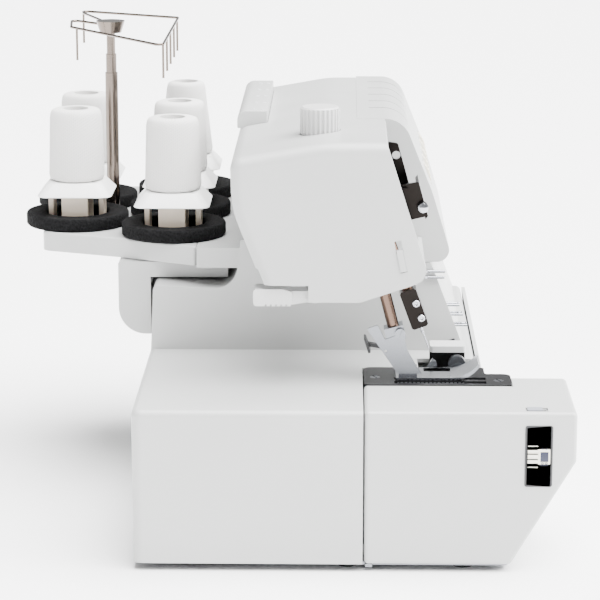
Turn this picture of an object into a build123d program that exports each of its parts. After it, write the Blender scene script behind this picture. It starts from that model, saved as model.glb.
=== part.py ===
from build123d import *
import os

# Five-thread overlock machine, in millimetres.
# +X runs to the operator's right, +Y to the rear, +Z up. While it is being built, X = 0 is the
# left face of the bed, Y = 0 lies near the middle of the bed and Z = 0 is the table.
# At the end every piece is moved so that the origin is under the middle of the machine.

# ---- driving dimensions: bed and column ----
bed_top = 102.0
bed_bottom = 5.0
bed_rear = 131.0
nose_reach = 139.5
casing_right = 345.0
wall = 2.5
seam_y = -10.0
panel_gap = 0.8
nose_width = 85.0
nose_lean_top = 71.0
nose_lean_reach = 39.0
column_left = 150.0
column_front_foot = -84.0
column_front_top = -56.5
column_front_low = -78.4
shoulder_top = 145.0
waist_y = 73.0
foot_height = 4.0
foot_radius = 6.5

# ---- head ----
head_left = 52.0
head_top = 257.0
head_rear = 71.0
head_seam = 176.0
head_bottom = 157.4
head_front_top = -24.0
head_front_low = -51.0
head_front_low_z = 173.0
head_rounding = 7.0
panel_top_front = -36.0
panel_mid_front = -55.8
panel_low_front = -69.8
panel_bottom = 162.0
panel_back = -6.0
panel_seam = 0.1
switch_y = -33.0
switch_z = 186.6
switch_tilt = 12.0

# ---- needle plate and sewing place ----
plate_left = 60.4
plate_right = 103.0
plate_front = -104.0
plate_step_x = 87.6
plate_step_y = -88.0
plate_thick = 2.2
plate_top = bed_top + 0.8
plate_screw_spots = ((79.0, -18.0), (72.0, -96.0))
plate_screw_radius = 2.0
needle_tilt = 20.0
needle_axis_x = 90.0
needle_axis_y = -42.0
needle_axis_z = 147.0
needle_bar_radius = 3.5
needle_spots = ((-2.4, 0.0), (2.4, 1.5))
shank_radius = 1.0
presser_tilt = 14.5
presser_x = 80.0
presser_axis_y = -30.8
presser_axis_z = 130.0
presser_bar_radius = 3.75
slide_clearance = 0.05
sole_left = 69.5
sole_right = 95.0
sole_rear = -31.0
sole_front = -84.0
sole_gap = 0.4

# ---- thread stand ----
tray_top = 170.4
tray_thick = 13.0
tray_front = 99.6
tray_rear = 207.0
tray_right = 372.0
spool_pitch = 71.5
spool_first_x = 198.0
spool_row_front = 117.2
spool_row_rear = 186.0
pad_radius = 35.2
pad_thick = 9.0
pad_hole_radius = 21.5
skirt_half = 25.3
skirt_top_half = 18.4
skirt_z = 193.4
cone_base_z = 201.2
cone_height = 49.0
leg_reach = 17.0
leg_thick = 4.0
leg_width = 18.0
cone_radius = 19.0
pin_radius = 2.75
mast_x = 269.5
mast_y = 164.5
mast_radii = (4.4, 3.7, 3.0)
mast_tops = (270.0, 283.0, 298.0)
mast_feet = (tray_top - tray_thick - 8.0, 166.0, 172.0)
wire_radius = 0.9
wire_z = 303.0
hook_count = 5
hook_pitch = 34.0
hook_first_x = 165.0
hook_y = 120.5
hook_drop = 22.0

# ---- thread dials, knobs and drive ----
dial_count = 5
dial_pitch = 30.0
dial_first_x = 197.0
tension_dial_radius = 17.0
tension_dial_width = 8.0
tension_axis_z = 208.0
tension_dial_proud = 0.8
knob_x = 105.0
knob_y = 17.5
knob_radius = 12.5
knob_height = 19.0
stitch_dial_radius = 24.0
stitch_dial_width = 13.6
stitch_dial_y = -116.5
stitch_dial_z = 74.5
stitch_dial_x = 22.4
axle_radius = 2.5
shaft_radius = 5.0
shaft_y = 10.0
shaft_z = 62.0
handwheel_radius = 33.0
handwheel_width = 22.0
motor_y = 92.0
motor_z = 70.0
motor_radius = 24.0
drive_pulley_radius = 30.0
motor_pulley_radius = 9.0
belt_thick = 1.6
belt_x = 318.0
belt_width = 8.0
belt_gap = 0.35
running = 0.05

# ---- hinges, guides and bearings ----
hinge_inset = 3.0
hinge_x = hinge_inset
hinge_y = seam_y - panel_gap - hinge_inset
hinge_pin_radius = 1.4
looper_cover_left = nose_width + 1.0
looper_hinge_y = -97.0
looper_hinge_z = 10.0
looper_pin_radius = 1.5
needle_boss_heights = (30.0, 58.0)
presser_boss_heights = (46.0, 84.0)
boss_side = 13.0
boss_height = 12.0
bearing_walls = (120.0, 300.0)
bearing_wall_thick = 6.0
feed_rows = (66.4, 75.4)
knife_pivot_y = -20.0
knife_pivot_z = 92.0
upper_looper_pivot = (-60.0, 40.0)
lower_looper_pivot = (-58.0, 30.0)
lifter_y = 20.0
lifter_z = 161.0
lifter_stud_radius = 2.5
wire_bend = 3.0
release_pivot = (-23.4, 121.4)
rocker_y = 69.0


# ---- helpers ----
def outline(corners):
    """Closed face of straight runs; each corner is (across, up, radius of its rounding)."""
    points = [(across, up) for across, up, _ in corners]
    radii = [radius for _, _, radius in corners]
    return make_face(FilletPolyline(*points, radius=radii, close=True))


def side_block(face, low_x, high_x):
    """Extrudes a side outline, drawn as (Y, Z), from low_x to high_x."""
    return extrude(Plane.YZ.offset(low_x) * face, amount=high_x - low_x)


def plan_block(face, low_z, high_z):
    """Extrudes a plan outline, drawn as (X, Y), from low_z to high_z."""
    return extrude(Plane.XY.offset(low_z) * face, amount=high_z - low_z)


def brick(x_span, y_span, z_span):
    """Box from its spans along X, Y and Z."""
    size = [max(span) - min(span) for span in (x_span, y_span, z_span)]
    middle = [(max(span) + min(span)) / 2 for span in (x_span, y_span, z_span)]
    return Pos(*middle) * Box(*size)


def post(x, y, low_z, high_z, radius):
    """Upright round bar."""
    return Pos(x, y, (low_z + high_z) / 2) * Cylinder(radius, high_z - low_z)


def axle(low_x, high_x, y, z, radius):
    """Round bar along X."""
    return Pos((low_x + high_x) / 2, y, z) * Rot(0, 90, 0) * Cylinder(radius, high_x - low_x)


def cross_axle(x, low_y, high_y, z, radius):
    """Round bar along Y."""
    return Pos(x, (low_y + high_y) / 2, z) * Rot(90, 0, 0) * Cylinder(radius, high_y - low_y)


def tilted(x, y, z, tilt):
    """Place whose +Z runs up a bar that leans to the rear by tilt degrees."""
    return Pos(x, y, z) * Rot(-tilt, 0, 0)


def ring_of(piece, count):
    """Copies of a piece spaced evenly round Z."""
    return [Rot(0, 0, 360 * i / count) * piece for i in range(count)]


def together(pieces):
    """Separate solids kept in one node."""
    return Compound(children=[solid for piece in pieces for solid in piece.solids()])


def spools():
    """(x, y) of each spool pin: three in the front row and two behind, between them."""
    front = [(spool_first_x + i * spool_pitch, spool_row_front) for i in range(3)]
    rear = [(spool_first_x + (i + 0.5) * spool_pitch, spool_row_rear) for i in range(2)]
    return front + rear


# ---- casings and covers ----
column_profile = [
    (column_front_low, bed_top - 1, 0),
    (column_front_top, 158.0, 0),
    (column_front_top + 2, panel_bottom - 0.5, 0),
    (panel_back + panel_seam, panel_bottom - 0.5, 0),
    (panel_back + panel_seam, head_seam, 0),
    (waist_y - 3, head_seam, 0),
    (waist_y + 1, shoulder_top - 1.5, 14),
    (128.0, shoulder_top, 3),
    (130.0, bed_top - 1, 0),
]


def column_front(z):
    """Y of the column's front face at height z."""
    share = (z - bed_top + 1) / (158.0 - bed_top + 1)
    return column_front_low + share * (column_front_top - column_front_low)


def main_casing():
    """Moulded casing of the bed's rear, the column and the ledge that carries the tray."""
    opening_right = plate_right + 0.4
    bed_outline = outline([
        (0, seam_y, 0), (opening_right, seam_y, 0), (opening_right, column_front_foot, 0),
        (casing_right, column_front_foot, 4), (casing_right, bed_rear, 8), (0, bed_rear, 6)])
    bed = plan_block(bed_outline, bed_bottom, bed_top)
    rim = bed.faces().sort_by(Axis.Z)[-1].edges()
    left_and_rear = [e for e in rim if e.center().X < 1 or e.center().Y > bed_rear - 1]
    bed = fillet(left_and_rear, 4)
    column = side_block(outline(column_profile), column_left, casing_right)
    ledge = brick((column_left + 2, casing_right), (waist_y - 3, tray_front - 0.4), (157, tray_top))
    casing = bed + column + ledge
    bed_inner = plan_block(offset(bed_outline, -wall), bed_bottom - 1, bed_top - wall)
    column_inner = side_block(
        offset(outline(column_profile), -wall), column_left + wall, casing_right - wall)
    well = brick((column_left + wall, casing_right - wall), (-50, waist_y - 10),
                 (bed_top - 10, head_seam + 1))
    ledge_inner = brick((column_left + 2 + wall, casing_right - wall),
                        (waist_y - 6, tray_front - 0.4 - wall), (157 - 1, tray_top - wall))
    left_mouth = brick((wall, opening_right + wall + 1), (seam_y - 1, seam_y + wall + 1),
                       (bed_bottom - 1, bed_top - wall))
    side_mouth = brick((opening_right - 1, opening_right + wall + 1),
                       (column_front_foot + wall, seam_y + 1), (bed_bottom - 1, bed_top - wall))
    front_mouth = brick((opening_right - 1, casing_right - 6),
                        (column_front_foot - 1, column_front_foot + wall + 1),
                        (bed_bottom - 1, bed_top - wall - 2.5))
    knife_well = brick((plate_right, plate_right + 25), (column_front_foot - 1, -46),
                       (bed_top - wall - 3, bed_top + 1))
    casing -= bed_inner + column_inner + well + ledge_inner + left_mouth
    casing -= side_mouth + front_mouth + knife_well
    bush_hole = axle(casing_right - wall - 1, casing_right + 1, shaft_y, shaft_z, 9)
    switch_hole = brick((casing_right - wall - 1, casing_right + 1), (58, 80), (18, 34))
    inlet_hole = brick((casing_right - wall - 1, casing_right + 1), (92, 118), (16, 36))
    return casing - bush_hole - switch_hole - inlet_hole


def rear_cover():
    """Motor cover that bulges out behind the column, under the thread tray."""
    profile = outline([
        (waist_y + 6.5, 146.2, 0), (waist_y + 6.5, 156.6, 0), (153, 156.6, 2), (153, 107, 18),
        (bed_rear + 0.4, 107, 0), (bed_rear + 0.4, 146.2, 0)])
    cover = side_block(profile, column_left + 22, casing_right - 4)
    hollow = side_block(offset(profile, -wall), column_left + 22 + wall, casing_right - 4 - wall)
    mouth = brick((column_left + 26, casing_right - 8), (bed_rear - 1, bed_rear + 6), (112, 140))
    vents = [brick((x, x + 24), (150, 154), (z, z + 2.6))
             for x in (200, 234, 268, 302) for z in (132, 138, 144)]
    return cover - hollow - mouth - vents


def head_face():
    """Side outline of the head cover, drawn as (Y, Z)."""
    return outline([
        (head_front_top, head_top, 0), (14, head_top, 80), (head_rear + 1.5, head_top - 10.5, 8),
        (head_rear + 0.5, 215, 60), (53, 168, 0), (24, 168, 0), (24, head_bottom, 0),
        (-8, head_bottom, 0), (head_front_low, head_front_low_z - 1, 9)])


def panel_profile():
    """Side outline of the space behind the front panel and under the head cover's right part."""
    return [
        (panel_back, head_top, 0), (panel_top_front, head_top, 18),
        (panel_mid_front, tension_axis_z, 100), (panel_low_front, panel_bottom, 8),
        (panel_back, panel_bottom, 0)]


def head_cover():
    """Top and left cover of the head; open in front of the needle bar and underneath."""
    face = head_face()
    left_part = side_block(face, head_left, column_left - 0.5)
    rim = [e for e in left_part.faces().sort_by(Axis.X)[0].edges() if e.center().Z > head_top - 17]
    left_part = fillet(rim, head_rounding)
    left_hollow = side_block(offset(face, -wall), head_left + wall, column_left)
    front_slot = side_block(outline([
        (head_front_top - 30, head_top - wall, 0), (head_front_top + 12, head_top - wall, 0),
        (head_front_low + 12, head_front_low_z + 6, 0), (-90, head_front_low_z + 6, 0)]),
        head_left + wall + 3, column_left)
    floor_mouth = brick((head_left + wall, column_left), (-60, 58), (head_bottom - 4, 178))
    left_part = left_part - left_hollow - front_slot - floor_mouth
    upper = face & Pos(20, 300) * Rectangle(400, 2 * (300 - head_seam))
    right_upper = upper & Pos(60, 250) * Rectangle(2 * (60 - panel_back - panel_seam), 400)
    right_part = side_block(right_upper, column_left - 0.5, casing_right)
    far_rim = [e for e in right_part.faces().sort_by(Axis.X)[-1].edges()
               if e.center().Z > head_seam + 1 and e.center().Y > panel_back + 1]
    right_part = fillet(far_rim, head_rounding)
    right_hollow = side_block(offset(right_upper, -wall), column_left - 1, casing_right - wall)
    right_low = brick((column_left - 1, casing_right - wall),
                      (panel_back, waist_y - 12), (head_seam - 1, head_seam + wall + 1))
    right_front = brick((column_left - 1, casing_right - wall),
                        (panel_back, panel_back + wall + 2), (head_seam - 1, head_top - wall - 4))
    right_part = right_part - right_hollow - right_low - right_front
    knob_hole = post(knob_x, knob_y, head_top - 12, head_top + 5, knob_radius + 0.6)
    guide_seat = brick(guide_span(0.3), (52.7, 56.3), (head_top - 14, head_top + 1))
    switch_slot = switch_place() * Box(12, 4.4, 20.5)
    cover = left_part + right_part
    return cover - knob_hole - guide_seat - switch_slot


def front_panel():
    """Thread-tension panel: the curved front of the machine with one slot for each dial."""
    profile = outline(panel_profile())
    panel = side_block(profile, column_left, casing_right)
    hollow = side_block(offset(profile, -wall), column_left + wall, casing_right - wall)
    back = brick((column_left + wall, casing_right - wall), (panel_back - wall - 1, panel_back + 1),
                 (panel_bottom + wall, head_top - wall))
    floor = brick((column_left + wall, casing_right - wall), (-50, panel_back + 1),
                  (panel_bottom - 1, panel_bottom + wall + 1))
    panel = panel - hollow - back - floor
    for i in range(dial_count):
        x = dial_first_x + i * dial_pitch
        centre_y = dial_axis_y()
        panel -= axle(x - tension_dial_width / 2 - 0.5, x + tension_dial_width / 2 + 0.5,
                      centre_y, tension_axis_z, tension_dial_radius + 0.6)
        panel -= brick((x - 0.9, x + 0.9), (-80, -14), (tension_axis_z + 22, head_top + 1))
    return panel


def dial_axis_y():
    """Y of the tension dials' shaft: the dials stand a little proud of the panel."""
    return panel_mid_front + tension_dial_radius - tension_dial_proud


def switch_place():
    """Middle of the sliding catch's slot in the head's left face, with +Z along the slot."""
    return Pos(head_left, switch_y, switch_z) * Rot(-switch_tilt, 0, 0)


def side_cover():
    """Hinged left bed cover with the nose; its rear edge is rounded about the hinge pin."""
    low, top = bed_bottom, bed_top
    edge = seam_y - panel_gap
    side = outline([
        (edge, low, 0), (edge, top, 0), (-nose_reach, top, 3), (-nose_reach, nose_lean_top, 3),
        (-nose_reach + nose_lean_reach, low, 4)])
    block = side_block(side, 0, nose_width)
    notch = brick((plate_left - 0.4, nose_width + 1), (plate_front - 0.4, edge + 1), (low - 1, top + 1))
    block -= notch
    corner = [e for e in block.edges().filter_by(Axis.Z)
              if e.center().X < 0.01 and e.center().Y > edge - 0.01]
    block = fillet(corner, hinge_inset)
    rim = [e for e in block.faces().sort_by(Axis.Z)[-1].edges() if e.center().X < 0.01]
    block = fillet(rim, 2.5)
    far_corner = [e for e in block.edges().filter_by(Axis.Z)
                  if e.center().X > nose_width - 0.01 and e.center().Y < -nose_reach + 4]
    block = fillet(far_corner, 6)
    inner_side = outline([
        (edge - 2 * hinge_inset, low - 1, 0), (edge - 2 * hinge_inset, top - wall, 0),
        (-nose_reach + wall, top - wall, 2), (-nose_reach + wall, nose_lean_top + 1, 2),
        (-nose_reach + nose_lean_reach + 1, low - 1, 0)])
    hollow = side_block(inner_side, wall + 0.5, nose_width - wall)
    seam_hollow = brick((2 * hinge_inset, nose_width), (edge - 2 * hinge_inset - 1, edge + 1),
                        (low - 1, top - wall))
    mouth = brick((plate_left - wall - 4, nose_width + 1), (plate_front + 1, edge + 1),
                  (low - 1, top - wall))
    window = brick((-1, wall + 1.5), (stitch_dial_y - 7.4, stitch_dial_y + 7.4), (57, 93))
    latch_seat = brick((3.4, 11.4), (-122, -108.5), (top - 1.2, top + 1))
    latch_hole = brick((4.4, 10.4), (-121.2, -111.0), (top - wall - 1, top))
    cover = block - hollow - seam_hollow - mouth - window - latch_seat - latch_hole
    cover += cross_axle(stitch_dial_x, stitch_dial_y - stitch_dial_width / 2 - 1,
                        stitch_dial_y + stitch_dial_width / 2 + 1, stitch_dial_z, axle_radius)
    for y in (stitch_dial_y - stitch_dial_width / 2 - 2.8, stitch_dial_y + stitch_dial_width / 2 + 0.4):
        cover += brick((stitch_dial_x - 7, stitch_dial_x + 7), (y, y + 2.4), (stitch_dial_z - 7, top - 1))
    return cover - post(hinge_x, hinge_y, low - 1, bed_top - 5.6, hinge_pin_radius + running)


def cover_hinge():
    """Long upright pin that the side cover turns on, with its tab on the bottom plate."""
    tab = brick((hinge_x - 1.4, 12), (hinge_y - 2, hinge_y + 2), (foot_height - 1.2, foot_height + 0.8))
    return tab + post(hinge_x, hinge_y, foot_height, bed_top - 6, hinge_pin_radius)


def cover_latch():
    """Grey catch let into the side cover's top; it slides to free the cover."""
    button = brick((3.8, 11.0), (-118.6, -109.4), (bed_top - 1.1, bed_top + 0.6))
    stem = brick((5.0, 9.8), (-117.6, -112.4), (bed_top - 5, bed_top - 1.1))
    keeper = brick((3.6, 11.2), (-118.6, -111.4), (bed_top - 5, bed_top - wall - 0.3))
    return button + stem + keeper


def looper_cover():
    """Front cover over the loopers; it swings forward about two pins at its foot."""
    top = plate_top - plate_thick - 0.3
    front = column_front_foot - panel_gap
    outer = outline([
        (front - wall, top, 0), (-104, 22, 6), (-104, 6.2, 8), (-92, 6.2, 0),
        (-92, 8.7, 0), (-101.5, 8.7, 5), (-101.5, 22.4, 6), (front, top, 0)])
    right = casing_right - 0.4
    end = outline([
        (front, top, 0), (-102, 22, 6), (-102, 7.5, 3), (-90, 7.5, 0), (front - 1, 90, 0)])
    cover = side_block(outer, looper_cover_left, right)
    cover += side_block(end, looper_cover_left, looper_cover_left + wall)
    cover += side_block(end, right - wall, right)
    for x in looper_hinge_spots():
        cover += axle(x, x + 8, looper_hinge_y, looper_hinge_z, 3.4)
        cover -= axle(x - 1, x + 9, looper_hinge_y, looper_hinge_z, looper_pin_radius + running)
        cover -= axle(x + 7.9, x + 12, looper_hinge_y, looper_hinge_z, 6.8)
    return cover


def looper_hinge_spots():
    """Low X of each knuckle of the front cover."""
    return (looper_cover_left + 22, casing_right - 30.4)


# ---- base and frame ----
def base_pan():
    """Bottom plate, with hinge ears for the looper cover and sockets for the feet."""
    plan = outline([
        (6, bed_rear - 8, 4), (casing_right - 6, bed_rear - 8, 4), (casing_right - 6, -84, 4),
        (nose_width + 4, -84, 0), (nose_width - 8, -100, 4), (6, -100, 4)])
    pan = plan_block(plan, foot_height - 1.2, foot_height + 0.8)
    pan -= brick((5, 12.4), (hinge_y - 2.4, hinge_y + 2.4), (foot_height - 2, foot_height + 1))
    for x in looper_hinge_spots():
        ear = brick((x + 8.4, x + 11.4), (looper_hinge_y - 2.6, -80), (foot_height, 12.4))
        pin = axle(x - 0.5, x + 11, looper_hinge_y, looper_hinge_z, looper_pin_radius)
        pan += ear + pin
    return pan


def feet_spots():
    """(x, y) of the rubber feet."""
    right = casing_right - 28
    return [(16, -1), (16, -72), (30, bed_rear - 24), (right, bed_rear - 24), (right, -64)]


def rubber_feet():
    """Round rubber feet under the bottom plate."""
    return together([post(x, y, 0, foot_height - 1.2, foot_radius) for x, y in feet_spots()])


def on_needle_bar(height):
    """Place on the needle bar's axis, height above its clamp, with +Z up the bar."""
    return tilted(needle_axis_x, needle_axis_y, needle_axis_z, needle_tilt) * Pos(0, 0, height)


def on_presser_bar(height):
    """Place on the presser bar's axis, height above the foot's clamp, with +Z up the bar."""
    return tilted(presser_x, presser_axis_y, presser_axis_z, presser_tilt) * Pos(0, 0, height)


def machine_frame():
    """Cast frame: floor, plate table, column and arm, with bored bosses for shafts and bars."""
    floor = brick((18, 330), (-70, 116), (foot_height + 0.8, 12))
    table = brick((62, 101), (-80, -14), (84, plate_top - plate_thick))
    table += brick((62, 74.6), (-102, -14), (84, plate_top - plate_thick))
    table -= brick((64, 98.5), (-90, -24), (83, 103))
    for x, y in plate_screw_spots:
        table -= post(x, y, 83, 103, plate_screw_radius + running)
    table += brick((62, 101), (-22, -14), (12, 84))
    column = brick((196, 232), (-16, 50), (12, 236))
    arm = brick((62, 300), (0, 34), (222, 240))
    boss = Box(boss_side, boss_side, boss_height)
    bosses = [on_needle_bar(height) * boss for height in needle_boss_heights]
    bosses += [on_presser_bar(height) * boss for height in presser_boss_heights]
    cheek = side_block(outline([
        (-34, 172, 0), (-22, 172, 0), (30, 222, 0), (30, 236, 0), (-18, 236, 0)]), 86.2, 102)
    frame = floor + table + column + arm + bosses + cheek
    for x in bearing_walls:
        frame += brick((x, x + bearing_wall_thick), (-24, 44), (12, 92))
    frame -= on_needle_bar(60) * Cylinder(needle_bar_radius + 1.5, 200)
    frame -= on_presser_bar(60) * Cylinder(presser_bar_radius + 1.5, 200)
    frame -= on_presser_bar(66) * Cylinder(6.2, 24)
    return frame - axle(110, 312, shaft_y, shaft_z, shaft_radius + 3)


def bronze_bushes():
    """Plain bushes pressed into the frame for the main shaft, needle bar and presser bar."""
    shaft_ring = Cylinder(shaft_radius + 3, bearing_wall_thick) - Cylinder(shaft_radius + running, 40)
    bushes = [Pos(x + bearing_wall_thick / 2, shaft_y, shaft_z) * Rot(0, 90, 0) * shaft_ring
              for x in bearing_walls]
    needle_ring = Cylinder(needle_bar_radius + 1.5, boss_height)
    needle_ring -= Cylinder(needle_bar_radius + slide_clearance, 40)
    bushes += [on_needle_bar(height) * needle_ring for height in needle_boss_heights]
    presser_ring = Cylinder(presser_bar_radius + 1.5, boss_height)
    presser_ring -= Cylinder(presser_bar_radius + slide_clearance, 40)
    bushes += [on_presser_bar(height) * presser_ring for height in presser_boss_heights]
    return together(bushes)


# ---- sewing place ----
def needle_plate():
    """Steel plate with slots for the needles, the feed dogs and the knife."""
    plate = plan_block(outline([
        (plate_left, plate_front, 5), (plate_step_x, plate_front, 5),
        (plate_step_x, plate_step_y, 2), (plate_right, plate_step_y, 2),
        (plate_right, seam_y - 0.8, 5), (plate_left, seam_y - 0.8, 5)]), plate_top - plate_thick, plate_top)
    for x in feed_rows:
        plate -= brick((x - 2.6, x + 2.6), (-88, -30), (plate_top - 3, plate_top + 1))
    plate -= brick((needle_axis_x - 5, needle_axis_x + 5), (-66, -49), (plate_top - 3, plate_top + 1))
    plate -= brick((plate_right - 4.4, plate_right + 1), (-84, -50), (plate_top - 3, plate_top + 1))
    for x, y in plate_screw_spots:
        plate -= post(x, y, plate_top - 3, plate_top + 1, plate_screw_radius + running)
        plate -= post(x, y, plate_top - 1.1, plate_top + 1, 3.4)
    return plate


def needle_plate_screws():
    """Two countersunk slotted screws."""
    screws = []
    for x, y in plate_screw_spots:
        screw = post(x, y, plate_top - 1.1, plate_top - 0.1, 3.3)
        screw += post(x, y, 90, plate_top - 1, plate_screw_radius)
        screws.append(screw - Pos(x, y, plate_top) * Rot(0, 0, 25) * Box(8, 0.9, 1.2))
    return together(screws)


def feed_dogs():
    """Toothed feed bars on their carrier, which lifts them through the plate's slots."""
    top = plate_top - 0.5
    carrier = brick((feed_rows[0] - 1.5, feed_rows[-1] + 1.5), (-60, -40), (86, 89))
    for x in feed_rows:
        bar = brick((x - 1.9, x + 1.9), (-74, -32), (88, top))
        for i in range(16):
            bar -= Pos(x, -72.5 + i * 2.6, top) * Rot(45, 0, 0) * Box(5, 1.0, 1.0)
        carrier += bar
    return carrier


def lower_knife():
    """Fixed knife blade beside the plate, on its clamp block."""
    blade = brick((plate_right + 0.6, plate_right + 2.4), (-76, -62), (84, plate_top - 0.3))
    block = brick((plate_right + 0.6, plate_right + 5), (-76, -62), (78, 84))
    leg = brick((plate_right + 0.6, plate_right + 5), (-76, -68), (12, 78))
    return blade + block + leg


def upper_knife():
    """Driving arm with the moving blade and its round clamp."""
    low_x = plate_right + 3.2
    arm = side_block(outline([
        (knife_pivot_y + 6, knife_pivot_z - 5, 4), (knife_pivot_y + 6, knife_pivot_z + 5, 4),
        (-52, 95.5, 1), (-75, 106.5, 3), (-75, 101, 1), (-64, 93, 1), (-50, 88, 1)]), low_x, low_x + 3)
    clamp = axle(low_x + 1, low_x + 6, -71.2, 103.6, 5.6)
    pivot_hole = axle(low_x - 1, low_x + 5, knife_pivot_y, knife_pivot_z, 2 + running)
    return arm + clamp - pivot_hole


def knife_pivot():
    """Shouldered stud for the knife arm, on a bracket of the frame."""
    low_x = plate_right + 3.2
    stud = axle(low_x - 1.2, low_x + 7, knife_pivot_y, knife_pivot_z, 2)
    bracket = brick((low_x + 4, low_x + 8), (-26, -14), (12, 97))
    return stud + bracket


def knife_guard():
    """White moulded guard over the knife and the loopers."""
    top = brick((plate_right + 9, plate_right + 25), (-77, -54), (110.4, 114.4))
    leg = brick((plate_right + 22, plate_right + 25), (-77, -54), (bed_top - wall - 4, 114))
    foot = brick((plate_right + 20, plate_right + 30), (-72, -56), (90, bed_top - wall - 4))
    return fillet(top.edges().filter_by(Axis.Z), 2) + leg + foot


def looper(low_x, pivot, tip_y, tip_z, width):
    """Looper: hub on a rocking shaft along X, arm and curved blade, drawn as (Y, Z)."""
    y, z = pivot
    hub = axle(low_x - 6, low_x + 6, y, z, 6)
    arm = side_block(outline([
        (y - 4, z, 0), (y + 4, z, 0), (tip_y + 6, tip_z - 8, 3), (tip_y + 1, tip_z, 0.6),
        (tip_y - 1, tip_z - 2, 0.6), (tip_y - 4, tip_z - 14, 3)]), low_x - width / 2, low_x + width / 2)
    return hub + arm - axle(low_x - 7, low_x + 7, y, z, 3 + running)


def looper_shafts():
    """Two fixed studs that the loopers rock on, on brackets of the frame."""
    pieces = []
    for (y, z), low_x in ((upper_looper_pivot, 116), (lower_looper_pivot, 76)):
        stud = axle(low_x - 8, low_x + 9, y, z, 3)
        bracket = brick((low_x + 7, low_x + 12), (y - 6, y + 6), (12, z + 6))
        pieces.append(stud + bracket)
    return together(pieces)


# ---- needle bar ----
def needle_bar():
    """Hardened round bar that carries the needles."""
    return on_needle_bar(45.5) * Cylinder(needle_bar_radius, 100)


def needle_clamp():
    """Dark steel clamp block under the needle bar, bored for the bar and both needles."""
    block = on_needle_bar(-1.2) * Box(13, 10.8, 25.6)
    block = chamfer(block.edges().filter_by(Axis.X), 1.2)
    block -= on_needle_bar(45.5) * Cylinder(needle_bar_radius, 100)
    for x, _ in needle_spots:
        block -= on_needle_bar(-14.9) * Pos(x, 0, 0) * Cylinder(shank_radius + running, 20)
    return block


def needle_clamp_screws():
    """Two small hexagon-socket screws in the clamp's side."""
    screws = []
    for height in (2.0, -8.0):
        head = on_needle_bar(height) * Pos(-7.5, -2.5, 0) * Rot(0, 90, 0) * Cylinder(2.2, 2)
        screws.append(head - on_needle_bar(height) * Pos(-8.2, -2.5, 0) * Rot(0, 90, 0) * Cylinder(1.0, 1.6))
    return together(screws)


def needles():
    """Two needles: shank, blade and point."""
    pieces = []
    for x, drop in needle_spots:
        shank = on_needle_bar(-11.5) * Pos(x, 0, 0) * Cylinder(shank_radius, 13)
        blade = on_needle_bar((drop - 45.9) / 2) * Pos(x, 0, 0) * Cylinder(0.45, 9.9 - drop)
        point = on_needle_bar(-29.4 + drop) * Pos(x, 0, 0) * Cone(0.05, 0.45, 3)
        pieces.append(shank + blade + point)
    return together(pieces)


# ---- presser foot ----
def presser_bar():
    """Round bar with the spring collar and the lifting collar."""
    bar = on_presser_bar(48) * Cylinder(presser_bar_radius, 100)
    return bar + on_presser_bar(58) * Cylinder(6.0, 4)


def presser_spring():
    """Coil spring between the presser bar's collar and the upper boss."""
    coil = Helix(pitch=2.4, height=16.2, radius=presser_bar_radius + 1.2)
    wire = sweep(Plane(origin=coil @ 0, z_dir=coil % 0) * Circle(0.55), path=coil)
    return on_presser_bar(60.8) * wire


def foot_holder():
    """Folded sheet-metal holder clamped on the presser bar."""
    profile = outline([
        (-12.5, 135.5, 1), (-19.5, 137.8, 1), (-24, 128.5, 1), (-35.5, 133, 1), (-38, 122, 2),
        (-44.5, 110.5, 2), (-47.5, 106.5, 0), (-32, 106.5, 0)])
    plate = side_block(profile, presser_x - 6.6, presser_x - 5)
    collar = on_presser_bar(2) * Box(12, 12, 9)
    tongue = on_presser_bar(-9) * Box(8, 4, 14)
    hole = axle(presser_x - 8, presser_x - 4, -24.5, 121, 1.0)
    return plate + collar + tongue - on_presser_bar(4) * Cylinder(presser_bar_radius, 12) - hole


def foot_clamp_screw():
    """Slotted thumb screw that holds the foot to the bar."""
    screw = on_presser_bar(2) * Pos(-7.4, -3.4, 0) * Rot(0, 90, 0) * Cylinder(3.2, 2.8)
    return screw - on_presser_bar(2) * Pos(-8.6, -3.4, 0) * Rot(30, 0, 0) * Box(1.2, 0.9, 8)


def foot_release_lever():
    """T-shaped thumb lever behind the foot that frees it from its holder."""
    stem = side_block(outline([
        (-24.0, 120.2, 0.4), (-24.0, 122.6, 0.4), (-13.2, 124.6, 0), (-12.6, 122.4, 0)]),
        presser_x + 1, presser_x + 5)
    bar = side_block(outline([
        (-10.5, 128.6, 0.4), (-12.2, 128.0, 0.4), (-15.2, 119.4, 0.4), (-13.6, 118.8, 0.4)]),
        presser_x - 4, presser_x + 8)
    hub = axle(presser_x + 1, presser_x + 5, release_pivot[0], release_pivot[1], 1.5)
    return stem + bar + hub


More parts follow.
